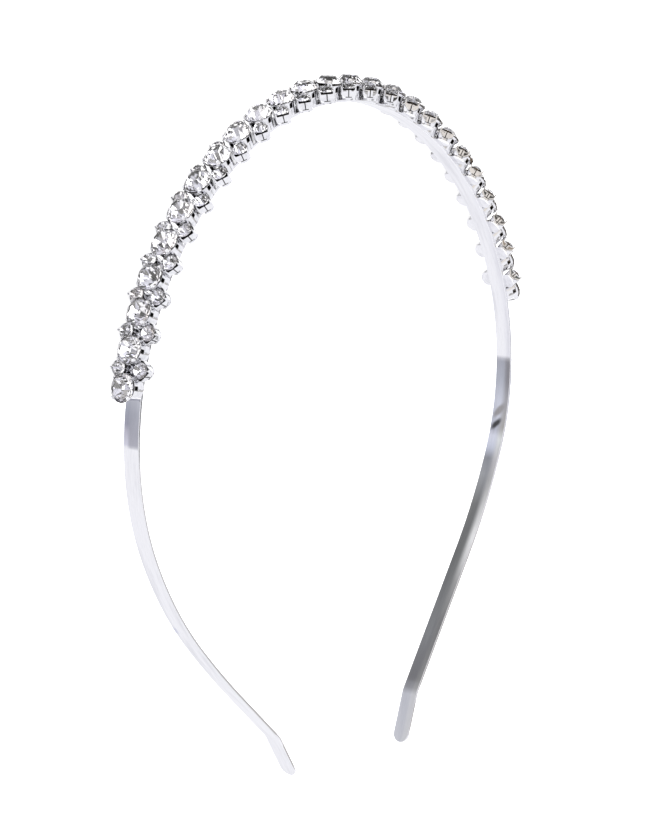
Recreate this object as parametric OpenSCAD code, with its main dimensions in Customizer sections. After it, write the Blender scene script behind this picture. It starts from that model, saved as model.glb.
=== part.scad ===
// Crystal headband: a bent metal band with claw-set round stones.
// It lies on its side, front up: X runs across the arch, +Y points to the crown, +Z is up.
// Left and right are as seen from the front, so the left arm is at -X.
// The origin is the middle of the bottom of the whole part.

/* [Band] */
// Width of the band
band_w = 3.9; // [3:0.1:5]
// Thickness of the band
band_t = 0.6; // [0.5:0.05:1]
// Length of each bend of the arch
bend_len = 24; // [22:0.5:26]
// Radius of the inner face at the crown
crown_r = 56; // [54:0.5:60]
// Radius above the temples
shoulder_r = 70; // [66:0.5:74]
// Radius at the temples
temple_r = 65; // [62:0.5:70]
// Radius above the ears
side_r = 62; // [58:0.5:68]
// Radius behind the left ear
left_ear_r = 56; // [52:0.5:60]
// Radius behind the right ear
right_ear_r = 52.5; // [50:0.5:58]
// Radius where the left arm runs in to its tip
left_ease_r = 78; // [74:1:100]
// Radius where the right arm runs in to its tip
right_ease_r = 110; // [90:1:140]
// Radius of the left arm's almost straight stretch after that
left_end_r = 210; // [180:5:400]
// Length of that stretch, which is straight on the right arm
end_len = 18; // [12:1:24]
// Length of the straight stretch before each tip
straight_len = 16; // [12:1:20]

/* [Tips] */
// How far each tip bends away from the head, in degrees
tip_angle = 15; // [10:1:25]
// Radius of that bend
tip_bend_r = 6; // [4:0.5:10]
// Length of each tip with its round end
tip_len = 10.8; // [8:0.2:14]

/* [Stones] */
// Distance between large stones along the inner face
pitch = 7; // [6.9:0.05:7.2]
// Large stones on each side of the middle one
large_each_side = 12; // [8:1:12]
// Width of a large stone
large_d = 5.7; // [5.5:0.05:5.8]
// Width of a small stone
small_d = 3.2; // [3:0.05:3.25]
// Distance of the small stones from the middle of the band
small_off = 2.75; // [2.6:0.05:2.9]
// Gap between a stone and its setting
stone_gap = 0.1; // [0.1:0.01:0.15]

/* [Settings] */
// Width of a large setting over its claws
large_cup_d = 6.3; // [6.2:0.05:6.4]
// Side of a small square setting
small_cup_w = 3.2; // [3.15:0.05:3.3]
// Height of a large stone's girdle above the band
large_girdle_h = 3.5; // [3.4:0.1:3.8]
// Height of a small stone's girdle above the band
small_girdle_h = 2.4; // [2.2:0.1:2.6]
// Depth that each setting is soldered into the band
solder_depth = 0.15; // [0.1:0.01:0.25]
// Width of the slits between the claws
slit_w = 0.35; // [0.25:0.05:0.5]
// Thickness of a setting's walls
sheet_t = 0.3; // [0.2:0.05:0.4]

/* [Hidden] */
$fn = 48;

// Length of the flats that stand for the strip's bends
facet_len = 3;

// A cut stone, as shares of its width
TABLE = 0.52;
LARGE_CROWN = 0.26;
SMALL_CROWN = 0.32;
GIRDLE = 0.04;
PAVILION = 0.41;
FACETS = 16;

// Bends of each arm from the crown down: length, radius of the inner face.
// Radius 0 is straight, and a negative radius bends away from the head.
shared_bends = [
    [bend_len, crown_r],
    [bend_len, shoulder_r],
    [bend_len, temple_r],
    [bend_len, side_r],
];
tip_bend = [[tip_bend_r * tip_angle * PI / 180, -tip_bend_r]];
left_bends = concat(shared_bends, [
    [bend_len, left_ear_r],
    [bend_len, left_ease_r],
    [end_len, left_end_r],
    [straight_len, 0],
], tip_bend);
right_bends = concat(shared_bends, [
    [bend_len, right_ear_r],
    [bend_len, right_ease_r],
    [end_len + straight_len, 0],
], tip_bend);

// Outward normal of the band where it has turned by the angle a
function normal(a) = [sin(a), cos(a)];
// Direction along the band there
function heading(a) = [cos(a), -sin(a)];

// A spot on the inner face is [x, y, angle turned]
function move(spot, len, r) =
    r == 0
    ? [spot.x + len * heading(spot.z).x, spot.y + len * heading(spot.z).y, spot.z]
    : let (turned = spot.z + len / r * 180 / PI, shift = r * (normal(turned) - normal(spot.z)))
      [spot.x + shift.x, spot.y + shift.y, turned];

// The spot at a distance along a list of bends, past their end in a straight line
function walk(bends, dist, i = 0, spot = [0, 0, 0]) =
    i == len(bends) ? move(spot, dist, 0)
    : dist <= bends[i][0] ? move(spot, dist, bends[i][1])
    : walk(bends, dist - bends[i][0], i + 1, move(spot, bends[i][0], bends[i][1]));

function total(bends, i = 0) = i == len(bends) ? 0 : bends[i][0] + total(bends, i + 1);
function mirrored(spot) = [-spot.x, spot.y, -spot.z];

// The spot at a distance from the crown, with the left arm at negative distances
function station(s) = s < 0 ? mirrored(walk(left_bends, -s)) : walk(right_bends, s);

large_stations = [for (i = [-large_each_side : large_each_side]) i * pitch];
small_stations = [for (i = [-large_each_side : large_each_side - 1]) (i + 0.5) * pitch];

// Height of the highest table above the inner face at the crown
reach_up = band_t + large_girdle_h + (GIRDLE / 2 + LARGE_CROWN) * large_d;
// How far each tip lies below the crown's inner face
function tip_reach(bends) =
    let (end = walk(bends, total(bends) + tip_len)) -end.y + max(0, -band_t * normal(end.z).y);
reach_down = max(tip_reach(left_bends), tip_reach(right_bends));
// The crown's inner face, with the part's middle over the origin and the lower corners on the ground
crown_at = [0, (reach_down - reach_up) / 2, small_off + small_cup_w / sqrt(2)];

LARGE_NAMES = [for (i = [1 : len(large_stations)]) str("large_stone_", i < 10 ? "0" : "", i)];

// Children drawn with +Z out of the band at a distance s along it
module on_band(s, across = 0) {
    spot = station(s);
    translate(crown_at + [spot.x, spot.y, across])
        rotate([0, 0, -spot.z])
        translate([0, band_t, 0])
        rotate([-90, 0, 0])
        children();
}

// Points along one arm at a height above the inner face, from the crown to the end of the tip
function arm_edge(bends, height) =
    let (len = total(bends) + tip_len, steps = ceil(len / facet_len))
    [for (i = [0 : steps])
        let (spot = walk(bends, len * i / steps)) [spot.x, spot.y] + height * normal(spot.z)];
function flipped(points) = [for (i = [len(points) - 1 : -1 : 0]) [-points[i].x, points[i].y]];
function strip_edge(height) = concat(flipped(arm_edge(left_bends, height)), arm_edge(right_bends, height));
function reversed(points) = [for (i = [len(points) - 1 : -1 : 0]) points[i]];

// What rounding takes off the end of a tip
module tip_corners(spot) {
    translate([spot.x, spot.y, 0])
        rotate([0, 0, -spot.z])
        difference() {
            translate([-band_w / 2, -band_t, -band_w])
                cube([band_w, 3 * band_t, 2 * band_w]);
            translate([-band_w / 2, -2 * band_t, 0])
                rotate([-90, 0, 0])
                cylinder(h = 5 * band_t, d = band_w);
        }
}

module strip() {
    translate(crown_at)
        difference() {
            translate([0, 0, -band_w / 2])
                linear_extrude(band_w)
                polygon(concat(strip_edge(0), reversed(strip_edge(band_t))));
            tip_corners(walk(right_bends, total(right_bends) + tip_len));
            mirror([1, 0, 0])
                tip_corners(walk(left_bends, total(left_bends) + tip_len));
        }
}

// Outline of a large setting: a thin cup that flares under the girdle, with a seat and turned-in claws
module large_cup_outline() {
    rim = large_cup_d / 2;
    bore = large_d / 2 + stone_gap;
    foot = rim - 0.85;
    wall = rim - 0.65;
    foot_h = 0.4;
    seat_h = large_girdle_h - GIRDLE / 2 * large_d - 0.15;
    lip_h = large_girdle_h + 0.35;
    top_h = lip_h + 0.35;
    polygon([
        [0, -solder_depth],
        [foot, -solder_depth],
        [foot, foot_h],
        [wall, seat_h - 0.8],
        [rim, seat_h - 0.25],
        [rim, lip_h],
        [rim - 0.25, top_h],
        [bore - 0.3, top_h],
        [bore, lip_h],
        [bore, seat_h],
        [wall - sheet_t, seat_h - 0.65],
        [foot - sheet_t, foot_h],
        [0, foot_h],
    ]);
}

// Slits across a setting in both directions, each with a window at its foot and a gap at its top
module claw_gaps(width, foot_h, window, gap_w, gap_h) {
    for (turn = [0, 90])
        rotate([0, 0, turn]) {
            translate([-width, -slit_w / 2, foot_h])
                cube([2 * width, slit_w, width]);
            translate([-width, -window.x / 2, foot_h])
                cube([2 * width, window.x, window.y]);
            translate([-width, -gap_w / 2, gap_h])
                cube([2 * width, gap_w, width]);
        }
}

module large_cup() {
    difference() {
        rotate_extrude() large_cup_outline();
        claw_gaps(width = large_cup_d, foot_h = 2.2, window = [0.9, 0.4], gap_w = 3.4, gap_h = large_girdle_h - 0.7);
    }
}

// Outside of a small setting: round at its foot, wider than its square corners above, claws leaning in
module small_cup_outline(lip_h, top_h) {
    reach = small_cup_w / sqrt(2) + 0.05;
    polygon([
        [0, -solder_depth],
        [small_cup_w / 2, -solder_depth],
        [small_cup_w / 2, 0.3],
        [reach, 1.8],
        [reach, lip_h],
        [reach - 0.3, top_h],
        [0, top_h],
    ]);
}

// A small setting, its square corners pointing along and across the band and ending in the claws
module small_cup() {
    bore = small_d / 2 + stone_gap;
    floor_h = 0.35;
    seat_h = small_girdle_h - GIRDLE / 2 * small_d - 0.4;
    lip_h = small_girdle_h + 0.2;
    top_h = lip_h + 0.25;
    difference() {
        rotate([0, 0, 45])
            difference() {
                intersection() {
                    rotate_extrude() small_cup_outline(lip_h, top_h);
                    translate([-small_cup_w / 2, -small_cup_w / 2, -small_cup_w])
                        cube([small_cup_w, small_cup_w, 3 * small_cup_w]);
                }
                claw_gaps(width = small_cup_w, foot_h = floor_h + 0.15, window = [1.2, 0.2], gap_w = 2.3, gap_h = seat_h);
            }
        translate([0, 0, floor_h])
            cylinder(h = seat_h - floor_h, r = small_cup_w / 2 - sheet_t);
        translate([0, 0, seat_h])
            cylinder(h = lip_h - seat_h, r = bore);
        translate([0, 0, lip_h])
            cylinder(h = top_h - lip_h, r1 = bore, r2 = bore - 0.2);
    }
}

// A round cut stone: an eight-sided table, sixteen crown facets, a girdle and a point
module cut_stone(width, crown) {
    r = width / 2;
    low = -GIRDLE / 2 * width;
    high = GIRDLE / 2 * width;
    step = 360 / FACETS;
    points = concat(
        [[0, 0, low - PAVILION * width]],
        [for (i = [0 : FACETS - 1]) [r * cos((i + 0.5) * step), r * sin((i + 0.5) * step), low]],
        [for (i = [0 : FACETS - 1]) [r * cos((i + 0.5) * step), r * sin((i + 0.5) * step), high]],
        [for (i = [0 : FACETS / 2 - 1])
            [r * TABLE * cos((2 * i + 1) * step), r * TABLE * sin((2 * i + 1) * step), high + crown * width]]
    );
    lower = function(i) 1 + i % FACETS;
    upper = function(i) 1 + FACETS + i % FACETS;
    top = function(i) 1 + 2 * FACETS + i % (FACETS / 2);
    faces = concat(
        [for (i = [0 : FACETS - 1]) [0, lower(i), lower(i + 1)]],
        [for (i = [0 : FACETS - 1]) [lower(i), upper(i), upper(i + 1), lower(i + 1)]],
        [for (i = [0 : FACETS / 2 - 1]) [upper(2 * i), top(i), upper(2 * i + 1)]],
        [for (i = [0 : FACETS / 2 - 1]) [upper(2 * i + 1), top(i), top(i + 1), upper(2 * i + 2)]],
        [[for (i = [FACETS / 2 - 1 : -1 : 0]) top(i)]]
    );
    polyhedron(points, faces);
}

module band_with_settings() {
    color("silver")
        union() {
            strip();
            for (s = large_stations)
                on_band(s) large_cup();
            for (s = small_stations)
                for (side = [-1, 1])
                    on_band(s, side * small_off) small_cup();
        }
}

module large_stone(s) {
    color("aliceblue")
        on_band(s)
        translate([0, 0, large_girdle_h])
        cut_stone(large_d, LARGE_CROWN);
}

module small_stones(side) {
    color("lavender")
        for (s = small_stations)
            on_band(s, side * small_off)
                translate([0, 0, small_girdle_h])
                cut_stone(small_d, SMALL_CROWN);
}

band_with_settings();
small_stones(1);  // small_stones_front
small_stones(-1);  // small_stones_back
for (i = [0 : len(large_stations) - 1])
    large_stone(large_stations[i]);
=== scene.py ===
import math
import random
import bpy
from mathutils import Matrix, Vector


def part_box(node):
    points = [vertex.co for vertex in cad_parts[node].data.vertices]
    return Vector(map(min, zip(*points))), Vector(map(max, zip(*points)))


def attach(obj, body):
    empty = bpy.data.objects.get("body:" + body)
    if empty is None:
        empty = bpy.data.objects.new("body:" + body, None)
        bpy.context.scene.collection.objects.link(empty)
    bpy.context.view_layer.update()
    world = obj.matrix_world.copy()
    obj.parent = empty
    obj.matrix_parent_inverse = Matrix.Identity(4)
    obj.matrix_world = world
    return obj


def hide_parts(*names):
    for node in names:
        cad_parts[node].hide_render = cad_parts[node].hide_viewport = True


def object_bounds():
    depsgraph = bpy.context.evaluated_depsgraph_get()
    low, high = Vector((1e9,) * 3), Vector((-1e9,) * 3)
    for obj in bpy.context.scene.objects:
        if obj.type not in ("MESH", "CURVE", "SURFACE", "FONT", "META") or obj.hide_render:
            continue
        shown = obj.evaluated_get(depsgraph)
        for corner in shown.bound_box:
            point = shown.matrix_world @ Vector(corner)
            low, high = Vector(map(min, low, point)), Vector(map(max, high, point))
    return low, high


bl_info = {
    "name": "Crystal Headband",
    "version": (1, 0, 0),
    "blender": (4, 5, 0),
    "location": "View3D > Sidebar > Headband",
    "description": "Bent strip, claw settings, cut stones and studio of a crystal headband",
    "category": "Add Mesh",
}

import bmesh
import bpy
from bpy.props import FloatProperty, FloatVectorProperty, IntProperty, PointerProperty
from bpy.types import Operator, Panel, PropertyGroup
from mathutils import Matrix, Vector

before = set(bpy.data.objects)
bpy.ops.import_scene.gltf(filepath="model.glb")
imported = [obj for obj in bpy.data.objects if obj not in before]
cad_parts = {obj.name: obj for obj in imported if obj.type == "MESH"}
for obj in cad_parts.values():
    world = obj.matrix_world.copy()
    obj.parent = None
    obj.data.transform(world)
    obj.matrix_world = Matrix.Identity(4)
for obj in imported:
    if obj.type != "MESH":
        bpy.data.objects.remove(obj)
cad_low, cad_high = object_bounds()

MM = 0.001

# Zones of the light tent that aren't white: direction, inner and outer angle in degrees, tone.
# The first is a warm panel above the right arm. The second is a grey one straight above, so that the strip's
# edge shows from there. The small ones are dark gaps that the flat cup sides pick up.
TENT_WHITE = (0.97, 0.97, 1.0)
TENT_ZONES = [
    ((0.05, 0.72, 0.65), 30, 48, (0.84, 0.79, 0.73)),
    ((0.0, 0.0, 1.0), 10, 26, (0.36, 0.36, 0.37)),
    ((-0.66, 0.20, 0.72), 4, 5, (0.52, 0.51, 0.50)),
    ((-0.64, 0.35, 0.68), 4, 5, (0.07, 0.065, 0.06)),
    ((-0.38, 0.61, 0.70), 4, 5, (0.46, 0.45, 0.44)),
    ((-0.08, 0.68, 0.73), 4, 5, (0.08, 0.075, 0.07)),
    ((0.16, 0.79, 0.59), 5, 6, (0.09, 0.09, 0.085)),
    ((0.30, 0.72, 0.62), 4, 5, (0.12, 0.11, 0.10)),
    ((0.37, 0.85, 0.37), 5, 7, (0.36, 0.30, 0.24)),
    ((0.53, 0.69, 0.50), 5, 7, (0.11, 0.12, 0.115)),
    ((0.40, -0.88, 0.10), 3, 6, (0.40, 0.40, 0.41)),
    ((0.75, -0.33, 0.57), 4, 6, (0.52, 0.50, 0.49)),
    ((0.73, -0.265, 0.63), 2, 3, (0.50, 0.49, 0.48)),
    ((0.80, -0.20, 0.56), 1.5, 2.5, (0.45, 0.47, 0.53)),
    ((0.715, -0.19, 0.67), 2.2, 2.7, (0.02, 0.02, 0.02)),
]

# Tones of the panels that the stones see, by their share of the tent
STONE_PANELS = [
    (0.0, 0.05), (0.06, (0.22, 0.215, 0.21)), (0.22, (0.40, 0.40, 0.44)), (0.48, (0.62, 0.62, 0.70)),
    (0.75, (1.08, 1.08, 1.11))]

# Tones of the cards beside the arms, by the distance from the crown along the strip in mm.
# One number is a grey.
CARD_WHITE = (0.95, 0.95, 0.985)
RIGHT_NEAR = [
    (10, CARD_WHITE), (98.7, CARD_WHITE), (99.2, (0.42, 0.43, 0.49)), (104, (0.48, 0.50, 0.57)),
    (109, (0.65, 0.67, 0.76)), (113, (0.62, 0.64, 0.72)), (115, (0.46, 0.47, 0.54)), (117, (0.72, 0.74, 0.84)),
    (119.5, (0.62, 0.65, 0.76)), (122, (0.30, 0.31, 0.34)), (126, (0.37, 0.38, 0.40)), (133, (0.22, 0.225, 0.225)),
    (145, (0.19, 0.195, 0.195)), (165, (0.24, 0.245, 0.255)), (176, (0.22, 0.22, 0.23)), (180, (0.60, 0.61, 0.66)),
    (200, (0.62, 0.63, 0.67))]
RIGHT_FAR = [
    (10, CARD_WHITE), (98.7, (0.90, 0.90, 0.95)), (99.2, (0.30, 0.295, 0.32)), (104, (0.30, 0.295, 0.32)),
    (108, (0.43, 0.43, 0.46)), (115, (0.44, 0.43, 0.42)), (117.5, (0.77, 0.79, 0.79)), (123, (0.53, 0.52, 0.54)),
    (127, 0.48), (134, 0.66), (141, 0.83), (147, 0.62), (152, 0.36), (161, 0.24), (176, 0.27),
    (180, (0.60, 0.60, 0.62)), (200, (0.65, 0.66, 0.68))]
LEFT_NEAR = [
    (-86, (0.52, 0.53, 0.59)), (-88, (0.40, 0.42, 0.49)), (-91, (0.38, 0.38, 0.46)), (-92.3, (0.56, 0.55, 0.64)),
    (-95.0, (0.70, 0.70, 0.80)), (-95.5, CARD_WHITE), (-137, CARD_WHITE), (-137.6, (0.78, 0.79, 0.90)),
    (-138.8, (0.78, 0.79, 0.90)), (-139.4, CARD_WHITE), (-200, CARD_WHITE)]
LEFT_FAR = [
    (-86, (0.56, 0.57, 0.63)), (-89, (0.45, 0.46, 0.52)), (-93, (0.44, 0.44, 0.50)), (-95.2, (0.47, 0.47, 0.53)),
    (-95.7, CARD_WHITE), (-200, CARD_WHITE)]
UNSEEN_NEAR = [
    (84, (0.66, 0.66, 0.68)), (110, (0.32, 0.32, 0.33)), (130, (0.52, 0.52, 0.54)), (165, (0.26, 0.26, 0.265)),
    (200, (0.55, 0.55, 0.57))]
# Soft shadows on the right card: middle, half sizes, lean in degrees and tone
RIGHT_SMEARS = [
    ((111.0, 7.0), (3.6, 1.3), 125, (0.36, 0.35, 0.36)),
    ((114.1, 6.6), (2.9, 1.1), 122, (0.08, 0.08, 0.085))]

INSIDE, OUTSIDE = -1, 1
CARD_STEPS = 90
# A mirrored sight line that leaves the strip at less than this slope is turned away from it by that share
GRAZING, TURN_AWAY = 0.12, 0.3
# The share of a soft shadow that is full
SMEAR_CORE = 0.35

SMOOTH_ANGLE = 35
STATION_STEP = 1.5 * MM
# UV per metre of strip, and where it starts so that both arms are positive
UV_SCALE, UV_START = 10, 2
# Width of the strip's last section, and of a cup's softened edges in its sheet, as shares
END_SHARE = 0.06
EDGE_SHARE = 0.18
# Half the height of a stone's girdle as a share of its width
GIRDLE_SHARE = 0.02
# Where the pavilion's facets change, as shares of the stone's width and of the pavilion's depth
WAIST_WIDTH, WAIST_DEPTH = 0.3, 0.72
FOIL_FINISH, CLAW_FINISH = 1, 2
RUB_DEPTH = 0.02 * MM
LACQUER_ROUGHNESS = 0.35
CRYSTAL_IOR = 1.58

# The middle stone's table stands this far above the inner face of the strip in the CAD part
CROWN_REACH = 5.696 * MM
BAND = "band_with_settings"
LARGE_NODES = sorted(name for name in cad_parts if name.startswith("large_stone"))
MIDDLE_STONE = LARGE_NODES[len(LARGE_NODES) // 2]


# Sizes and colours that can be changed


def length_value(name, description, default, precision=4, **limits):
    return FloatProperty(
        name=name, description=description, default=default, unit="LENGTH", precision=precision, **limits)


def angle_value(name, description, degrees):
    return FloatProperty(name=name, description=description, default=math.radians(degrees), unit="ROTATION")


def share_value(name, description, default, low, high):
    return FloatProperty(name=name, description=description, default=default, min=low, max=high, subtype="FACTOR")


def colour_value(name, description, default):
    return FloatVectorProperty(
        name=name, description=description, default=default, subtype="COLOR", min=0.0, max=1.0)


class HeadbandStrip(PropertyGroup):
    width: length_value("Width", "Width of the strip", 3.9 * MM, min=0.002, precision=5)
    thickness: length_value("Thickness", "Thickness of the strip", 0.6 * MM, min=0.0003, precision=5)
    edge: length_value("Edge rounding", "Radius of the rubbed-down edges", 0.1 * MM, min=0.00002, precision=5)
    bend_length: length_value("Bend length", "Length of each bend of the arch", 24 * MM)
    crown_radius: length_value("Crown radius", "Inner radius at the crown", 56 * MM)
    shoulder_radius: length_value("Shoulder radius", "Inner radius above the temples", 70 * MM)
    temple_radius: length_value("Temple radius", "Inner radius at the temples", 65 * MM)
    side_radius: length_value("Side radius", "Inner radius above the ears", 62 * MM)
    left_ear_radius: length_value("Left ear radius", "Inner radius behind the left ear", 56 * MM)
    right_ear_radius: length_value("Right ear radius", "Inner radius behind the right ear", 52.5 * MM)
    left_run_radius: length_value("Left run radius", "Inner radius where the left arm runs in to its tip", 78 * MM)
    right_run_radius: length_value(
        "Right run radius", "Inner radius where the right arm runs in to its tip", 110 * MM)
    left_end_radius: length_value(
        "Left end radius", "Inner radius of the almost straight end of the left arm", 210 * MM)
    end_length: length_value("End length", "Length of that stretch, straight on the right arm", 18 * MM)
    straight_length: length_value("Straight length", "Straight stretch before each tip", 16 * MM)
    tip_angle: angle_value("Tip angle", "How far each tip bends away from the head", 15)
    tip_bend_radius: length_value("Tip bend radius", "Radius of the bend before each tip", 6 * MM)
    tip_length: length_value("Tip length", "Length of each tip with its round end", 10.79 * MM)


class HeadbandSettings(PropertyGroup):
    pitch: length_value("Pitch", "Distance between large settings along the inner face", 7 * MM)
    each_side: IntProperty(
        name="Large settings each side", description="Large settings on each side of the middle one",
        default=12, min=1, max=12)
    large_width: length_value("Large setting width", "Width of a large setting over its claws", 6.2 * MM)
    small_width: length_value("Small setting width", "Side of a small square setting", 3.16 * MM)
    small_offset: length_value(
        "Small setting offset", "Distance of the small settings from the middle of the strip", 2.75 * MM)
    sheet: length_value("Sheet thickness", "Thickness of the settings' sheet metal", 0.24 * MM, precision=5)
    play: share_value("Hand play", "How much the settings differ in turn and lean from hand soldering", 1.0, 0.0, 3.0)


class HeadbandStones(PropertyGroup):
    large_width: length_value("Large stone width", "Width of a large stone at its girdle", 5.85 * MM)
    small_width: length_value("Small stone width", "Width of a small stone at its girdle", 3.3 * MM)
    large_girdle: length_value("Large girdle height", "Height of a large stone's girdle above the strip", 3.5 * MM)
    small_girdle: length_value("Small girdle height", "Height of a small stone's girdle above the strip", 2.4 * MM)
    table: share_value("Table", "Width of the table as a share of the stone", 0.52, 0.3, 0.7)
    large_crown: share_value(
        "Large crown", "Height of a large stone's crown as a share of its width", 0.235, 0.1, 0.4)
    small_crown: share_value("Small crown", "Height of a small stone's crown as a share of its width", 0.30, 0.1, 0.4)
    pavilion: share_value("Pavilion", "Depth of the point as a share of the stone", 0.41, 0.2, 0.5)


class HeadbandFinish(PropertyGroup):
    plating: colour_value("Plating", "Colour of the bright plating", (0.93, 0.93, 0.95))
    plating_dull: colour_value("Dull plating", "Colour of the plating where it is handled", (0.80, 0.80, 0.83))
    # The inside colours are partly the duller unpolished metal and partly painted shade: they darken the insides of
    # the cups and their cut edges.
    inside: colour_value(
        "Setting inside", "Colour of the unpolished insides and cut edges of the settings", (0.12, 0.117, 0.115))
    inside_dull_and_shade: colour_value(
        "Dull setting inside", "Colour of the darkest metal inside the settings", (0.05, 0.047, 0.045))
    foil: colour_value("Foil", "Colour of the mirror foil behind the stones", (0.96, 0.96, 0.97))
    foil_warm: colour_value("Warm foil", "Colour of the foil where its lacquer shows", (0.86, 0.83, 0.82))
    lacquer: colour_value("Lacquer", "Colour of the lacquer on the outside of the foil", (0.11, 0.10, 0.095))
    lacquer_warm: colour_value("Thin lacquer", "Colour of the lacquer where it is thin", (0.20, 0.155, 0.11))
    crystal: colour_value("Crystal", "Tint of the clear stones", (1.0, 1.0, 1.0))
    floor: colour_value("Floor", "Colour of the studio floor", (0.90, 0.90, 0.905))


class HeadbandStudio(PropertyGroup):
    azimuth: angle_value("Azimuth", "Turn of the camera about the worn headband", -51.173)
    elevation: angle_value("Elevation", "Rise of the camera over the worn headband", 12.615)
    roll: angle_value("Roll", "Roll of the camera", -1.144)
    distance: length_value("Distance", "Distance of the camera from the point it looks at", 0.60057)
    aim_across: length_value("Aim across", "How far to the side of the crown the camera looks", -3.58 * MM)
    aim_below: length_value("Aim below", "How far below the crown the camera looks", 66.0 * MM)
    lens: FloatProperty(name="Lens", description="Focal length in millimetres", default=123.0, min=20.0)
    tent: FloatProperty(name="Tent", description="Strength of the light tent in reflections", default=1.0, min=0.0)
    soft_light: FloatProperty(
        name="Soft light", description="Strength of the even light on the floor", default=1.0, min=0.0)
    floor_lift: FloatProperty(
        name="Floor lift", description="Glow of the floor card under the headband", default=0.6, min=0.0)
    floor_size: length_value("Floor size", "Width of the studio floor", 3.0)


# Course of the strip


def arm_bends(strip, left):
    """Length and inner radius of each bend of one arm from the crown down. Radius 0 is straight."""
    run = strip.bend_length
    radii = [strip.crown_radius, strip.shoulder_radius, strip.temple_radius, strip.side_radius]
    if left:
        radii += [strip.left_ear_radius, strip.left_run_radius]
        ends = [(strip.end_length, strip.left_end_radius), (strip.straight_length, 0.0)]
    else:
        radii += [strip.right_ear_radius, strip.right_run_radius]
        ends = [(strip.end_length + strip.straight_length, 0.0)]
    tip_bend = (strip.tip_bend_radius * strip.tip_angle, -strip.tip_bend_radius)
    return [(run, radius) for radius in radii] + ends + [tip_bend]


def arm_length(strip, left):
    return sum(run for run, _ in arm_bends(strip, left)) + strip.tip_length


def moved(spot, run, radius):
    """The place and turn reached by following one bend."""
    x, y, turn = spot
    if radius == 0.0:
        return x + run * math.cos(turn), y - run * math.sin(turn), turn
    end = turn + run / radius
    return x + radius * (math.sin(end) - math.sin(turn)), y + radius * (math.cos(end) - math.cos(turn)), end


def spot_at(strip, distance):
    """Place and turn of the inner face at a distance from the crown, negative on the left arm."""
    left = distance < 0
    rest = abs(distance)
    spot = (0.0, 0.0, 0.0)
    for run, radius in arm_bends(strip, left):
        part = min(rest, run)
        spot = moved(spot, part, radius)
        rest -= part
    x, y, turn = moved(spot, rest, 0.0)
    return (-x, y, -turn) if left else (x, y, turn)


def crown_point():
    """The strip's inner face at the crown, in the middle of its width."""
    return Vector((0.0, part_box(MIDDLE_STONE)[1].y - CROWN_REACH, (cad_low.z + cad_high.z) / 2))


def on_strip(distance, across=0.0):
    """Matrix of a seat on the strip: x runs along the strip, z points out of its outer face."""
    strip = bpy.context.scene.headband_strip
    x, y, turn = spot_at(strip, distance)
    along = Vector((math.cos(turn), -math.sin(turn), 0.0))
    out = Vector((math.sin(turn), math.cos(turn), 0.0))
    seat = crown_point() + Vector((x, y, across)) + out * strip.thickness
    side = out.cross(along)
    return Matrix.Translation(seat) @ Matrix((along, side, out)).transposed().to_4x4()


def hand_play(rng, lean, turn):
    """A small random lean and turn, as hand soldering leaves them."""
    play = bpy.context.scene.headband_settings.play
    tilt = Matrix.Rotation(math.radians(rng.gauss(0, lean) * play), 4, "X")
    tilt = tilt @ Matrix.Rotation(math.radians(rng.gauss(0, lean) * play), 4, "Y")
    return tilt @ Matrix.Rotation(math.radians(rng.uniform(-turn, turn) * play), 4, "Z")


def large_seats():
    """Where each large setting and its stone sit, the same for both."""
    settings = bpy.context.scene.headband_settings
    rng = random.Random(11)
    places = range(-settings.each_side, settings.each_side + 1)
    return [on_strip(i * settings.pitch) @ hand_play(rng, 0.8, 4) for i in places]


def small_seats(front):
    """Where each small setting of one row and its stone sit, between the large ones."""
    settings = bpy.context.scene.headband_settings
    rng = random.Random(23 if front else 37)
    across = settings.small_offset * (1 if front else -1)
    places = range(-settings.each_side, settings.each_side)
    return [on_strip((i + 0.5) * settings.pitch, across) @ hand_play(rng, 0.6, 5) for i in places]


# Making pieces


def stamped(pattern, seats):
    """One mesh with a copy of the pattern on every seat."""
    whole = bmesh.new()
    sheet = bpy.data.meshes.new("stamp")
    pattern.to_mesh(sheet)
    for seat in seats:
        before = len(whole.verts)
        whole.from_mesh(sheet)
        whole.verts.ensure_lookup_table()
        bmesh.ops.transform(whole, matrix=seat, verts=whole.verts[before:])
    bpy.data.meshes.remove(sheet)
    return whole


def placed(name, data):
    """An object linked to the scene."""
    thing = bpy.data.objects.new(name, data)
    bpy.context.collection.objects.link(thing)
    return thing


def made(name, work, materials):
    """An object made from a bmesh."""
    mesh = bpy.data.meshes.new(name)
    work.to_mesh(mesh)
    work.free()
    for material in materials:
        mesh.materials.append(material)
    return placed(name, mesh)


def made_piece(name, work, materials, stands_for, smooth=None):
    """Turns a bmesh into a piece of the headband that rides on its only body."""
    piece = made(name, work, materials)
    if smooth is not None:
        piece.data.shade_smooth()
        piece.data.set_sharp_from_angle(angle=math.radians(smooth))
    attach(piece, "root")
    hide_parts(*stands_for)
    return piece


def flat_faces(piece):
    """Keeps the wide faces flat in reflections and leaves the rounding to the small ones."""
    piece.modifiers.new("Flat faces", "WEIGHTED_NORMAL").keep_sharp = True


def sheet_metal(piece, sheet):
    """Gives a piece of thin sheet its thickness and softened edges."""
    solid = piece.modifiers.new("Sheet", "SOLIDIFY")
    solid.thickness = sheet
    solid.offset = -1.0
    solid.use_even_offset = False
    # The inside and the cut edges are the next finish, a dark metal that is partly duller unplated metal and partly
    # painted shade in the cups and on their edges, and a claw is plated all round
    solid.material_offset = 1
    solid.material_offset_rim = 1
    soft = piece.modifiers.new("Soft edges", "BEVEL")
    soft.width = sheet * EDGE_SHARE
    soft.segments = 2
    soft.limit_method = "ANGLE"
    soft.angle_limit = math.radians(50)
    flat_faces(piece)


def quads_between(work, ring_a, ring_b, closed=True, left_open=()):
    """Faces between two rows of points, without those whose column is left open."""
    count = len(ring_a)
    faces = []
    for i in range(count if closed else count - 1):
        if i not in left_open:
            j = (i + 1) % count
            faces.append(work.faces.new((ring_a[i], ring_a[j], ring_b[j], ring_b[i])))
    return faces


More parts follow.
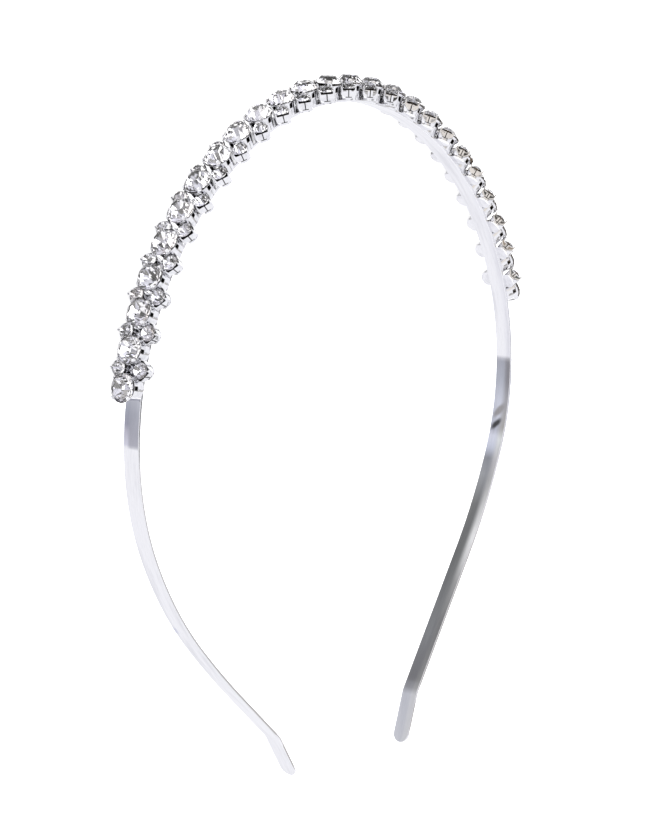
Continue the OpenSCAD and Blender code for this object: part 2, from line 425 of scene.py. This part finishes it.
def strip_section(width, thickness, edge, narrow):
    """Points round the strip's cross section as (across, out), with rounded edges and flat faces."""
    half = width / 2 * narrow
    edge = min(edge, half * 0.9)
    side = half - edge
    top = thickness - edge
    points = []
    for across, out, start in ((side, top, 0), (-side, top, 90), (-side, edge, 180), (side, edge, 270)):
        for k in range(4):
            a = math.radians(start + 30 * k)
            points.append((across + edge * math.cos(a), out + edge * math.sin(a)))
    # Two more points just inside the edges of each wide face, the inner face first
    inset = side - min(0.08 * MM, side * 0.3)
    points[12:12] = [(-inset, 0.0), (inset, 0.0)]
    points[4:4] = [(inset, thickness), (-inset, thickness)]
    return points


def strip_stations(strip):
    """Distances along the strip, closer together at the round ends and the tip bends."""
    stations = []
    for left in (True, False):
        length = arm_length(strip, left)
        round_end = strip.width / 2
        turns = (0, 12, 24, 36, 48, 60, 70, 80, 90)
        arm = [length - round_end * (1 - math.cos(math.radians(a))) for a in turns]
        bend_end = length - strip.tip_length
        bend_start = bend_end - strip.tip_bend_radius * strip.tip_angle
        arm += [bend_start + (bend_end - bend_start) * k / 8 for k in range(9)]
        count = int(bend_start / STATION_STEP)
        arm += [bend_start * k / count for k in range(count)]
        arm += [bend_end + (length - round_end - bend_end) * k / 5 for k in range(1, 5)]
        arm = sorted(set(round(s, 7) for s in arm))
        stations += [-s for s in reversed(arm[1:])] if left else arm
    return stations


def strip_mesh(strip):
    """The strip with its round ends, laid out along its length for its rub marks."""
    work = bmesh.new()
    uv = work.loops.layers.uv.new("Along")
    start = crown_point()
    reach = strip.width / 2
    rings = []
    stations = strip_stations(strip)
    for s in stations:
        to_end = arm_length(strip, s < 0) - abs(s)
        narrow = 1.0
        if to_end < reach:
            narrow = max(END_SHARE, math.sqrt(max(0.0, 1 - ((reach - to_end) / reach) ** 2)))
        x, y, turn = spot_at(strip, s)
        out = Vector((math.sin(turn), math.cos(turn), 0.0))
        foot = start + Vector((x, y, 0.0))
        section = strip_section(strip.width, strip.thickness, strip.edge, narrow)
        rings.append([work.verts.new(foot + out * h + Vector((0, 0, a))) for a, h in section])
    for ring_a, ring_b, s_a, s_b in zip(rings, rings[1:], stations, stations[1:]):
        for k, face in enumerate(quads_between(work, ring_a, ring_b)):
            for loop, (s, c) in zip(face.loops, ((s_a, k), (s_a, k + 1), (s_b, k + 1), (s_b, k))):
                loop[uv].uv = (s * UV_SCALE + UV_START, c / len(ring_a))
    work.faces.new(rings[0])
    work.faces.new(rings[-1][::-1])
    bmesh.ops.recalc_face_normals(work, faces=work.faces)
    return work


def grown_claw(work, below, rows):
    """Adds a claw's rows of points above the wall, in the finish that is plated on both sides."""
    for row in rows:
        above = [work.verts.new(point) for point in row]
        for face in quads_between(work, below, above, closed=False):
            face.material_index = CLAW_FINISH
        below = above


def finished_cup(work, rim, drop=0.05):
    """Closes a setting's foot with a shallow dish that grows from its lowest ring, and scales it from mm."""
    rings = [rim]
    for share, low in ((0.94, 0.4), (0.6, 1.0), (0.2, 1.0)):
        rings.append([work.verts.new((v.co.x * share, v.co.y * share, v.co.z - drop * low)) for v in rim])
    for outer, inner in zip(rings, rings[1:]):
        quads_between(work, inner, outer)
    work.faces.new(rings[-1][::-1])
    for v in work.verts:
        v.co *= MM
    bmesh.ops.recalc_face_normals(work, faces=work.faces)
    return work


def round_point(radius, angle, height):
    """A point on a circle about the middle of a seat."""
    a = math.radians(angle)
    return radius * math.cos(a), radius * math.sin(a), height


def large_setting_pattern(settings, stones):
    """A stamped cup that flares under the girdle, with four windows and four claws between them."""
    work = bmesh.new()
    rim = settings.large_width / 2 / MM
    girdle = stones.large_girdle / MM
    # Radius and height of each ring, in mm
    profile = [
        (2.3, -0.12), (2.3, 0.0), (2.31, 0.35), (2.34, 0.8), (2.38, 1.3), (2.42, 1.7),
        (2.45, 2.05), (2.48, 2.4), (2.52, 2.72), (2.63, 2.88), (2.77, 3.0), (2.86, 3.16)]
    window_rows, window_columns, claw_columns = (5, 6, 7), (0, 1, 2), (7, 8, 9, 10, 11)
    quarter_turns = (-10, -3.3, 3.3, 10, 15, 22, 29, 33, 38, 45, 52, 57, 61, 68, 75)
    columns = len(quarter_turns)
    turns = [quarter * 90 + a for quarter in range(4) for a in quarter_turns]
    windows = [quarter * columns + k for quarter in range(4) for k in window_columns]
    rings = [[work.verts.new(round_point(r, a, h)) for a in turns] for r, h in profile]
    for row, (lower, upper) in enumerate(zip(rings, rings[1:])):
        quads_between(work, lower, upper, left_open=windows if row in window_rows else ())
    # Claws grow from the rim between the windows and bend in over the stone: radius, height and half width
    claw = [
        (rim - 0.17, girdle - 0.25, 10.5), (rim - 0.02, girdle - 0.02, 10), (rim, girdle + 0.25, 9),
        (rim - 0.06, girdle + 0.45, 8), (rim - 0.22, girdle + 0.6, 6.5), (rim - 0.42, girdle + 0.68, 4.5)]
    for quarter in range(4):
        middle = quarter * 90 + 45
        rows = [[round_point(r, middle + half * share, h) for share in (-1, -0.5, 0, 0.5, 1)] for r, h, half in claw]
        grown_claw(work, [rings[-1][quarter * columns + k] for k in claw_columns], rows)
    return finished_cup(work, rings[0])


def square_point(side, corner, u):
    """A point on a square with rounded corners. u runs 0 to 4, a whole number is the middle of a side."""
    quarter = math.floor(u + 0.5)
    local = u - quarter
    flat = side / 2 - corner
    share = abs(local) * 2
    straight = 0.8
    x = side / 2
    if share <= straight:
        y = flat * share / straight
    else:
        a = (share - straight) / (1 - straight) * math.pi / 4
        x, y = flat + corner * math.cos(a), flat + corner * math.sin(a)
    y = math.copysign(y, local)
    a = quarter * math.pi / 2
    return x * math.cos(a) - y * math.sin(a), x * math.sin(a) + y * math.cos(a)


def small_setting_pattern(settings, stones):
    """A cup with a round foot and square top: slit sides, an opening under the girdle and a claw at each corner."""
    work = bmesh.new()
    side = settings.small_width / MM
    girdle = stones.small_girdle / MM
    corner = 0.08
    foot_height, spread_rate = 0.3, 0.75
    # Columns from the middle of one side to the middle of the next, the first one the slit
    steps = [-0.026, 0.026, 0.17, 0.255, 0.33, 0.4, 0.45, 0.5, 0.55, 0.6, 0.67, 0.745, 0.83]
    columns = len(steps)
    opening_row, opening_columns, slit_columns, claw_columns = 3, (0, 1, 12), (0,), range(4, 11)
    rings = []
    for h in (-0.08, 0.0, 0.3, 0.46, 0.62, 0.85, 1.15, 1.55, 1.98):
        reach = side / 2 + spread_rate * max(0.0, h - foot_height)
        ring = []
        for u in (quarter + step for quarter in range(4) for step in steps):
            x, y = square_point(side, corner, u)
            share = min(1.0, reach / math.hypot(x, y))
            ring.append(work.verts.new((x * share, y * share, h)))
        rings.append(ring)
    for row, (lower, upper) in enumerate(zip(rings, rings[1:])):
        if row < opening_row:
            gaps = ()
        else:
            gaps = opening_columns if row == opening_row else slit_columns
        gaps = [quarter * columns + k for quarter in range(4) for k in gaps]
        quads_between(work, lower, upper, left_open=gaps)
    # Claws stand on the corners and bend in over the stone: scale, height over the girdle and width
    claw = [
        (1.0, -0.3, 1.0), (1.0, -0.12, 0.95), (1.0, 0.08, 0.85),
        (0.99, 0.26, 0.68), (0.95, 0.42, 0.46), (0.89, 0.52, 0.25)]
    for quarter in range(4):
        rows = []
        for scale, lift, spread in claw:
            points = [square_point(side, corner, quarter + 0.5 + (steps[k] - 0.5) * spread) for k in claw_columns]
            rows.append([(x * scale, y * scale, girdle + lift) for x, y in points])
        grown_claw(work, [rings[-1][quarter * columns + k] for k in claw_columns], rows)
    finished_cup(work, rings[0])
    bmesh.ops.rotate(work, verts=work.verts, cent=(0, 0, 0), matrix=Matrix.Rotation(math.radians(45), 3, "Z"))
    return work


def cut_stone_pattern(width, girdle, crown, stones):
    """A cut stone: an eight-sided table, eight main facets and eight corner facets over a foiled pavilion."""
    work = bmesh.new()
    r = width / 2
    top = girdle + GIRDLE_SHARE * width
    low = girdle - GIRDLE_SHARE * width

    def ring(radius, count, first, height):
        turns = [first + i * 360 / count for i in range(count)]
        return [work.verts.new(round_point(radius, a, height)) for a in turns]

    # Corners of the girdle stand either side of each corner of the table
    half_step = 360 / 32
    table = ring(r * stones.table, 8, 0.0, top + width * crown)
    upper = ring(r, 16, half_step, top)
    lower = ring(r, 16, half_step, low)
    depth = width * stones.pavilion
    inner = ring(r * WAIST_WIDTH, 8, 0.0, low - depth * WAIST_DEPTH)
    point = work.verts.new((0, 0, low - depth))
    work.faces.new(table)
    foiled = []
    for i in range(8):
        j = (i + 1) % 8
        a, b, c = upper[2 * i - 1], upper[2 * i], upper[2 * i + 1]
        work.faces.new((table[i], a, b))
        work.faces.new((table[i], b, c, table[j]))
        a, b, c = lower[2 * i - 1], lower[2 * i], lower[2 * i + 1]
        foiled.append(work.faces.new((inner[i], b, a)))
        foiled.append(work.faces.new((inner[i], inner[j], c, b)))
        foiled.append(work.faces.new((inner[i], point, inner[j])))
    quads_between(work, upper, lower)
    for face in foiled:
        face.material_index = FOIL_FINISH
    bmesh.ops.recalc_face_normals(work, faces=work.faces)
    return work


# Finishes


def feed(tree, node, inputs):
    """Joins each input to a socket or gives it a value. A colour is three numbers."""
    for key, value in inputs.items():
        socket = node.inputs[key]
        if isinstance(value, bpy.types.NodeSocket):
            tree.links.new(value, socket)
        elif socket.type == "RGBA":
            socket.default_value = (*value, 1.0)
        else:
            socket.default_value = value
    return node


def add_node(tree, kind, inputs=None, **values):
    """A shader node with its settings and inputs."""
    node = tree.nodes.new("ShaderNode" + kind)
    for key, value in values.items():
        setattr(node, key, value)
    return feed(tree, node, inputs or {})


def mixed(tree, factor, a, b, **values):
    """A mix of two colours."""
    return add_node(tree, "Mix", {"Factor": factor, "A": a, "B": b}, data_type="RGBA", **values).outputs["Result"]


def eased(tree, value, start, end):
    """A smooth step that is 0 at the start and 1 at the end."""
    inputs = {"Value": value, "From Min": start, "From Max": end}
    return add_node(tree, "MapRange", inputs, interpolation_type="SMOOTHSTEP").outputs["Result"]


def highest(tree, a, b):
    return add_node(tree, "Math", {0: a, 1: b}, operation="MAXIMUM").outputs["Value"]


def tone_ramp(tree, value, tones, interpolation="LINEAR"):
    """Tones along a value that runs from 0 to 1. A tone that is one number is a grey."""
    ramp = add_node(tree, "ValToRGB", {"Fac": value})
    ramp.color_ramp.interpolation = interpolation
    stops = ramp.color_ramp.elements
    for i, (at, tone) in enumerate(tones):
        stop = stops[i] if i < 2 else stops.new(at)
        stop.position = at
        stop.color = (*tone, 1.0) if isinstance(tone, tuple) else (tone, tone, tone, 1.0)
    return ramp.outputs["Color"]


def handling_wear():
    """Soft clouds and fine rub marks of handled plating: a mix mask, a roughness and a height."""
    name = "Handling Wear"
    if name in bpy.data.node_groups:
        return bpy.data.node_groups[name]
    group = bpy.data.node_groups.new(name, "ShaderNodeTree")
    sockets = group.interface
    sockets.new_socket(name="Vector", in_out="INPUT", socket_type="NodeSocketVector")
    numbers = {"Cloud Scale": 60.0, "Rub Scale": 900.0, "Bright Roughness": 0.05, "Dull Roughness": 0.2}
    for label, value in numbers.items():
        sockets.new_socket(name=label, in_out="INPUT", socket_type="NodeSocketFloat").default_value = value
    for label in ("Mask", "Roughness", "Height"):
        sockets.new_socket(name=label, in_out="OUTPUT", socket_type="NodeSocketFloat")
    entry = group.nodes.new("NodeGroupInput").outputs
    leave = group.nodes.new("NodeGroupOutput")
    cloud = add_node(group, "TexNoise", {
        "Vector": entry["Vector"], "Scale": entry["Cloud Scale"], "Detail": 4.0, "Roughness": 0.55})
    rub = add_node(group, "TexNoise", {"Vector": entry["Vector"], "Scale": entry["Rub Scale"], "Detail": 2.0})
    fine = add_node(group, "MapRange", {
        "Value": rub.outputs["Fac"], "From Min": 0.35, "From Max": 0.75, "To Max": 0.35})
    soft = eased(group, cloud.outputs["Fac"], 0.42, 0.72)
    both = add_node(group, "Math", {0: soft, 1: fine.outputs["Result"]}, operation="ADD", use_clamp=True)
    mask = both.outputs["Value"]
    spread = add_node(group, "MapRange", {
        "Value": mask, "To Min": entry["Bright Roughness"], "To Max": entry["Dull Roughness"]})
    feed(group, leave, {"Mask": mask, "Roughness": spread.outputs["Result"], "Height": rub.outputs["Fac"]})
    return group


def wear_on(tree, cloud_scale, rub_scale, bright_roughness, dull_roughness, place=None):
    """The wear with its values, laid out by the object's own coordinates unless a place is given."""
    return add_node(tree, "Group", {
        "Vector": place or add_node(tree, "TexCoord").outputs["Object"],
        "Cloud Scale": cloud_scale,
        "Rub Scale": rub_scale,
        "Bright Roughness": bright_roughness,
        "Dull Roughness": dull_roughness,
    }, node_tree=handling_wear()).outputs


def new_material(name):
    material = bpy.data.materials.new(name)
    material.use_nodes = True
    return material, material.node_tree, material.node_tree.nodes["Principled BSDF"]


def metal_finish(name, bright, dull, wear, bump, stretch=None):
    """Plated metal. Its wear is cloud scale, rub scale and the roughness where it is bright and where it is dull."""
    if name in bpy.data.materials:
        return bpy.data.materials[name]
    material, tree, shader = new_material(name)
    place = None
    if stretch is not None:
        along = add_node(tree, "TexCoord").outputs["UV"]
        place = add_node(tree, "Mapping", {"Vector": along, "Scale": stretch}).outputs["Vector"]
    worn = wear_on(tree, *wear, place=place)
    marks = add_node(tree, "Bump", {"Height": worn["Height"], "Strength": bump, "Distance": RUB_DEPTH})
    feed(tree, shader, {
        "Base Color": mixed(tree, worn["Mask"], bright, dull),
        "Roughness": worn["Roughness"],
        "Metallic": 1.0,
        "Normal": marks.outputs["Normal"],
    })
    return material


def foil_finish(name, foil, foil_warm, lacquer, lacquer_warm):
    """Mirror foil as seen through the stone, with its dark lacquer on the outside."""
    if name in bpy.data.materials:
        return bpy.data.materials[name]
    material, tree, shader = new_material(name)
    worn = wear_on(tree, 300.0, 2500.0, 0.02, 0.08)
    within = add_node(tree, "NewGeometry").outputs["Backfacing"]
    outer = mixed(tree, worn["Mask"], lacquer, lacquer_warm)
    inner = mixed(tree, worn["Mask"], foil, foil_warm)
    rough = add_node(tree, "Mix", {
        "Factor": within, "A": LACQUER_ROUGHNESS, "B": worn["Roughness"]}, data_type="FLOAT")
    feed(tree, shader, {
        "Base Color": mixed(tree, within, outer, inner),
        "Roughness": rough.outputs["Result"],
        "Metallic": 1.0,
    })
    return material


def crystal_finish(name, tint):
    """Clear cut glass with faint polishing marks."""
    if name in bpy.data.materials:
        return bpy.data.materials[name]
    material, tree, shader = new_material(name)
    worn = wear_on(tree, 350.0, 2600.0, 0.0, 0.03)
    feed(tree, shader, {
        "Base Color": mixed(tree, worn["Mask"], tint, [0.95 * c for c in tint]),
        "Roughness": worn["Roughness"],
        "Transmission Weight": 1.0,
        "IOR": CRYSTAL_IOR,
    })
    return material


def floor_finish(name, colour, lift):
    """Pale card that glows just enough for the eye and the stones to keep the contact shadows soft."""
    if name in bpy.data.materials:
        return bpy.data.materials[name]
    material, tree, shader = new_material(name)
    worn = wear_on(tree, 3.0, 400.0, 0.6, 0.7)
    sight = add_node(tree, "LightPath").outputs
    seen = highest(tree, sight["Is Camera Ray"], sight["Is Transmission Ray"])
    feed(tree, shader, {
        "Base Color": mixed(tree, worn["Mask"], colour, [0.985 * c for c in colour]),
        "Roughness": worn["Roughness"],
        "Specular IOR Level": 0.1,
        "Emission Color": (1.0, 1.0, 1.0),
        "Emission Strength": add_node(tree, "Math", {0: seen, 1: lift}, operation="MULTIPLY").outputs["Value"],
    })
    return material


def card_tones(tree, distance, tones):
    """The tones along one side of a card."""
    start, end = tones[0][0], tones[-1][0]
    run = add_node(tree, "MapRange", {"Value": distance, "From Min": start * MM, "From Max": end * MM})
    return tone_ramp(tree, run.outputs["Result"], [((at - start) / (end - start), tone) for at, tone in tones])


def card_smear(tree, uv, colour, smear):
    """A long soft shadow across a card: middle, half sizes, lean in degrees and tone."""
    (along, reach), (half_length, half_width), lean, tone = smear
    place = add_node(tree, "Mapping", {
        "Vector": uv,
        "Location": (along * MM, reach * MM, 0.0),
        "Rotation": (0.0, 0.0, math.radians(lean)),
        "Scale": (half_length * MM, half_width * MM, 1.0),
    }, vector_type="TEXTURE")
    away = add_node(tree, "VectorMath", {0: place.outputs["Vector"]}, operation="LENGTH")
    return mixed(tree, eased(tree, away.outputs["Value"], 1.0, SMEAR_CORE), colour, tone)


def card_finish(name, near, far, change, smears):
    """A glowing card seen only by polished metal, with tones along its near and its far side."""
    material, tree, _ = new_material(name)
    tree.nodes.clear()
    uv = add_node(tree, "TexCoord").outputs["UV"]
    split = add_node(tree, "SeparateXYZ", {"Vector": uv}).outputs
    across = eased(tree, split["Y"], change[0] * MM, change[1] * MM)
    colour = mixed(tree, across, card_tones(tree, split["X"], near), card_tones(tree, split["X"], far))
    for smear in smears:
        colour = card_smear(tree, uv, colour, smear)
    glow = add_node(tree, "Emission", {"Color": colour})
    add_node(tree, "OutputMaterial", {"Surface": glow.outputs["Emission"]})
    return material


def strip_finish():
    """The bright plating of the strip, with its rub marks drawn along it."""
    finish = bpy.context.scene.headband_finish
    wear = (5.0, 60.0, 0.02, 0.07)
    return metal_finish("Strip Plating", finish.plating, finish.plating_dull, wear, 0.08, stretch=(1.0, 6.0, 1.0))


def setting_finishes():
    """Bright plating, the dark metal inside the cups, partly duller metal and partly painted shade, and plating again
    for both sides of the claws.
    """
    finish = bpy.context.scene.headband_finish
    bright_wear = (420.0, 2500.0, 0.04, 0.14)
    dull_wear = (500.0, 2600.0, 0.25, 0.45)
    plating = metal_finish("Setting Plating", finish.plating, finish.plating_dull, bright_wear, 0.12)
    # The inside finish paints shade into the cups and onto their cut edges, on top of the duller metal.
    inside = metal_finish("Setting Inside", finish.inside, finish.inside_dull_and_shade, dull_wear, 0.2)
    return [plating, inside, plating, plating]


def stone_finishes():
    finish = bpy.context.scene.headband_finish
    return [
        crystal_finish("Cut Crystal", finish.crystal),
        foil_finish("Mirror Foil", finish.foil, finish.foil_warm, finish.lacquer, finish.lacquer_warm),
    ]


# Operators


class HEADBAND_OT_strip(Operator):
    """Make the bent strip with its bent-out round tips"""

    bl_idname = "headband.strip"
    bl_label = "Strip"

    def execute(self, context):
        work = strip_mesh(context.scene.headband_strip)
        flat_faces(made_piece("strip", work, [strip_finish()], [BAND], smooth=SMOOTH_ANGLE))
        return {"FINISHED"}


def made_settings(name, pattern, seats):
    """A piece with a cup of thin sheet metal on every seat."""
    work = stamped(pattern, seats)
    piece = made_piece(name, work, setting_finishes(), [BAND], smooth=SMOOTH_ANGLE)
    sheet_metal(piece, bpy.context.scene.headband_settings.sheet)


class HEADBAND_OT_large_settings(Operator):
    """Make the round claw settings of the large stones"""

    bl_idname = "headband.large_settings"
    bl_label = "Large Settings"

    def execute(self, context):
        scene = context.scene
        pattern = large_setting_pattern(scene.headband_settings, scene.headband_stones)
        made_settings("large_settings", pattern, large_seats())
        pattern.free()
        return {"FINISHED"}


class HEADBAND_OT_small_settings(Operator):
    """Make both rows of small square claw settings"""

    bl_idname = "headband.small_settings"
    bl_label = "Small Settings"

    def execute(self, context):
        scene = context.scene
        pattern = small_setting_pattern(scene.headband_settings, scene.headband_stones)
        for name, front in (("small_settings_front", True), ("small_settings_back", False)):
            made_settings(name, pattern, small_seats(front))
        pattern.free()
        return {"FINISHED"}


class HEADBAND_OT_large_stones(Operator):
    """Cut the large stones and set them in their settings"""

    bl_idname = "headband.large_stones"
    bl_label = "Large Stones"

    def execute(self, context):
        stones = context.scene.headband_stones
        pattern = cut_stone_pattern(stones.large_width, stones.large_girdle, stones.large_crown, stones)
        rng = random.Random(5)
        seats = [seat @ hand_play(rng, 1.2, 22) for seat in large_seats()]
        made_piece("large_stones", stamped(pattern, seats), stone_finishes(), LARGE_NODES)
        pattern.free()
        return {"FINISHED"}


class HEADBAND_OT_small_stones(Operator):
    """Cut both rows of small stones and set them in their settings"""

    bl_idname = "headband.small_stones"
    bl_label = "Small Stones"

    def execute(self, context):
        stones = context.scene.headband_stones
        pattern = cut_stone_pattern(stones.small_width, stones.small_girdle, stones.small_crown, stones)
        for node, front in (("small_stones_front", True), ("small_stones_back", False)):
            rng = random.Random(7 if front else 9)
            seats = [seat @ hand_play(rng, 1.5, 22) for seat in small_seats(front)]
            name = node.replace("small_stones", "small_cut_stones")
            made_piece(name, stamped(pattern, seats), stone_finishes(), [node])
        pattern.free()
        return {"FINISHED"}


# Studio


def as_worn(across, back, up):
    """A direction on the worn headband, turned with it as it lies with its front up."""
    return Vector((across, up, -back))


def soft_box(name, place, aim, width, power):
    """A square lamp that the metal doesn't mirror, because it reflects the tent behind it."""
    lamp = bpy.data.lights.new(name, "AREA")
    lamp.size = width
    lamp.energy = power
    box = placed(name, lamp)
    box.location = place
    box.rotation_mode = "QUATERNION"
    box.rotation_quaternion = (Vector(place) - Vector(aim)).to_track_quat("Z", "Y")
    box.visible_glossy = False


def studio_floor(studio, material):
    """A wide floor that curves up a little at its rim."""
    work = bmesh.new()
    half = studio.floor_size / 2
    bmesh.ops.create_grid(work, x_segments=24, y_segments=24, size=half)
    flat_share, rise = 0.75, 0.25
    for v in work.verts:
        out = max(abs(v.co.x), abs(v.co.y)) / half
        v.co.z = cad_low.z + rise * max(0.0, out - flat_share) ** 2
    floor = made("studio_floor", work, [material])
    floor.data.shade_smooth()


def reflection_card(name, side, near, far, change, smears=(), for_photo=True):
    """A card that lies on the floor beside one arm, inside it or outside it, and shows only in the metal.

    One for the photo is cut along the mirrored sight lines, so a tone at a distance along it shows at that
    distance on the strip. The others lie beside the sides that the photo doesn't show, a little lower.
    The near tones give way to the far ones between the two reaches of the change, in mm.
    """
    scene = bpy.context.scene
    strip = scene.headband_strip
    eye = camera_frame(scene.headband_studio).translation
    start, end = near[0][0] * MM, near[-1][0] * MM
    reaches = [reach * MM for reach in ((0.3, 4, 9, 20) if for_photo else (0.3, 6, 14, 25))]
    above_floor = (0.05 if for_photo else 0.03) * MM
    work = bmesh.new()
    uv = work.loops.layers.uv.new("Along")
    edges = []
    for i in range(CARD_STEPS + 1):
        x, y, turn = spot_at(strip, start + (end - start) * i / CARD_STEPS)
        out = Vector((math.sin(turn), math.cos(turn), 0.0)) * side
        foot = crown_point() + Vector((x, y, 0.0)) + (out * strip.thickness if side == OUTSIDE else Vector())
        sight = foot - eye
        sight.z = 0.0
        mirrored = (sight - 2 * sight.dot(out) * out).normalized()
        if not for_photo:
            mirrored = out
        elif mirrored.dot(out) < GRAZING:
            mirrored = (mirrored + out * TURN_AWAY).normalized()
        foot.z = cad_low.z + above_floor
        edges.append([work.verts.new(foot + mirrored * reach) for reach in reaches])
    for i, (one, two) in enumerate(zip(edges, edges[1:])):
        for k in range(len(reaches) - 1):
            face = work.faces.new((one[k], one[k + 1], two[k + 1], two[k]))
            for loop, (a, b) in zip(face.loops, ((i, k), (i, k + 1), (i + 1, k + 1), (i + 1, k))):
                loop[uv].uv = (start + (end - start) * a / CARD_STEPS, reaches[b])
    card = made(name, work, [card_finish(name, near, far, change, smears)])
    card.visible_camera = False
    card.visible_diffuse = False
    card.visible_transmission = False
    card.visible_shadow = False


def sky_zone(tree, direction, towards, inner, outer):
    """A mask that is 1 within an angle of a direction of the sky and 0 outside a wider one."""
    dot = add_node(tree, "VectorMath", {0: direction, 1: Vector(towards).normalized()}, operation="DOT_PRODUCT")
    return eased(tree, dot.outputs["Value"], math.cos(math.radians(outer)), math.cos(math.radians(inner)))


def stone_tent(tree, direction):
    """What the stones see of the studio: bright panels with grey and dark ones between them."""
    panels = add_node(tree, "TexVoronoi", {
        "Vector": direction, "Scale": 3.2, "Randomness": 1.0}, feature="F1", distance="CHEBYCHEV")
    pick = add_node(tree, "SeparateXYZ", {"Vector": panels.outputs["Color"]})
    tones = tone_ramp(tree, pick.outputs["X"], STONE_PANELS, "CONSTANT")
    # The sky over the crown is brighter, as in the photo
    over = sky_zone(tree, direction, as_worn(0.0, 0.0, 1.0), 25, 75)
    return mixed(tree, over, tones, (2.1, 2.1, 2.15), blend_type="MULTIPLY")


def light_tent(studio):
    """World light: a white tent with a few grey gaps for the metal, and a panelled one for the stones."""
    world = bpy.data.worlds.new("Light Tent")
    world.use_nodes = True
    tree = world.node_tree
    tree.nodes.clear()
    direction = add_node(tree, "TexCoord").outputs["Generated"]
    sight = add_node(tree, "LightPath").outputs
    colour = TENT_WHITE
    for towards, inner, outer, tone in TENT_ZONES:
        colour = mixed(tree, sky_zone(tree, direction, towards, inner, outer), colour, tone)
    colour = mixed(tree, sight["Is Transmission Ray"], colour, stone_tent(tree, direction))
    tent = add_node(tree, "Background", {"Color": colour, "Strength": studio.tent})
    soft = add_node(tree, "Background", {"Color": (1.0, 1.0, 1.0), "Strength": studio.soft_light})
    plain = highest(tree, sight["Is Camera Ray"], sight["Is Diffuse Ray"])
    choose = add_node(tree, "MixShader", {0: plain, 1: tent.outputs["Background"], 2: soft.outputs["Background"]})
    add_node(tree, "OutputWorld", {"Surface": choose.outputs["Shader"]})
    bpy.context.scene.world = world


def camera_frame(studio):
    """Where the camera stands and how it is turned to see the headband as photographed."""
    a, e, r = studio.azimuth, studio.elevation, studio.roll
    back = as_worn(math.sin(a) * math.cos(e), -math.cos(a) * math.cos(e), math.sin(e))
    level = as_worn(math.cos(a), math.sin(a), 0.0)
    up = back.cross(level)
    right = level * math.cos(r) + up * math.sin(r)
    top = up * math.cos(r) - level * math.sin(r)
    aim = crown_point() + as_worn(studio.aim_across, 0.0, -studio.aim_below)
    return Matrix.Translation(aim + back * studio.distance) @ Matrix((right, top, back)).transposed().to_4x4()


def photo_camera(studio):
    """The camera at the photograph's angle to the headband."""
    data = bpy.data.cameras.new("photo_camera")
    data.lens = studio.lens
    data.sensor_width = 36.0
    data.clip_start, data.clip_end = 0.01, 20.0
    camera = placed("photo_camera", data)
    camera.matrix_world = camera_frame(studio)
    bpy.context.scene.camera = camera


class HEADBAND_OT_stage(Operator):
    """Lay the pale floor, set the soft lights and place the camera"""

    bl_idname = "headband.stage"
    bl_label = "Stage"

    def execute(self, context):
        scene = context.scene
        studio = scene.headband_studio
        studio_floor(studio, floor_finish("Floor Card", scene.headband_finish.floor, studio.floor_lift))
        light_tent(studio)
        soft_box("over_box", (-0.05, 0.02, 0.75), (0, 0, 0), 0.8, 4.0)
        reflection_card("right_card", INSIDE, RIGHT_NEAR, RIGHT_FAR, (6.9, 9.3), RIGHT_SMEARS)
        reflection_card("left_card", OUTSIDE, LEFT_NEAR, LEFT_FAR, (4.3, 5.4))
        # Paler and flatter than close to the strip
        unseen_far = [(at, tuple(0.55 * c + 0.25 for c in tone)) for at, tone in UNSEEN_NEAR]
        for name, side, hand in (("right_outer_card", OUTSIDE, 1), ("left_inner_card", INSIDE, -1)):
            near, far = ([(hand * at, tone) for at, tone in tones] for tones in (UNSEEN_NEAR, unseen_far))
            reflection_card(name, side, near, far, (5, 18), for_photo=False)
        scene.view_settings.view_transform = "Standard"
        photo_camera(studio)
        return {"FINISHED"}


class HEADBAND_PT_panel(Panel):
    """Buttons and values of the crystal headband"""

    bl_idname = "HEADBAND_PT_panel"
    bl_label = "Crystal Headband"
    bl_space_type = "VIEW_3D"
    bl_region_type = "UI"
    bl_category = "Headband"

    def draw(self, context):
        for maker in MAKERS:
            self.layout.operator(maker.bl_idname)
        for title, group in VALUE_GROUPS.items():
            box = self.layout.box()
            box.label(text=title.replace("headband_", "").title())
            for key in group.__annotations__:
                box.prop(getattr(context.scene, title), key)


VALUE_GROUPS = {
    "headband_strip": HeadbandStrip,
    "headband_settings": HeadbandSettings,
    "headband_stones": HeadbandStones,
    "headband_finish": HeadbandFinish,
    "headband_studio": HeadbandStudio,
}
MAKERS = [
    HEADBAND_OT_strip,
    HEADBAND_OT_large_settings,
    HEADBAND_OT_small_settings,
    HEADBAND_OT_large_stones,
    HEADBAND_OT_small_stones,
    HEADBAND_OT_stage,
]
CLASSES = [*VALUE_GROUPS.values(), *MAKERS, HEADBAND_PT_panel]


def register():
    for cls in CLASSES:
        bpy.utils.register_class(cls)
    for name, group in VALUE_GROUPS.items():
        setattr(bpy.types.Scene, name, PointerProperty(type=group))


def unregister():
    for name in VALUE_GROUPS:
        delattr(bpy.types.Scene, name)
    for cls in reversed(CLASSES):
        bpy.utils.unregister_class(cls)


def main():
    register()
    bpy.ops.headband.strip()
    bpy.ops.headband.large_settings()
    bpy.ops.headband.small_settings()
    bpy.ops.headband.large_stones()
    bpy.ops.headband.small_stones()
    bpy.ops.headband.stage()


if __name__ == "__main__":
    main()
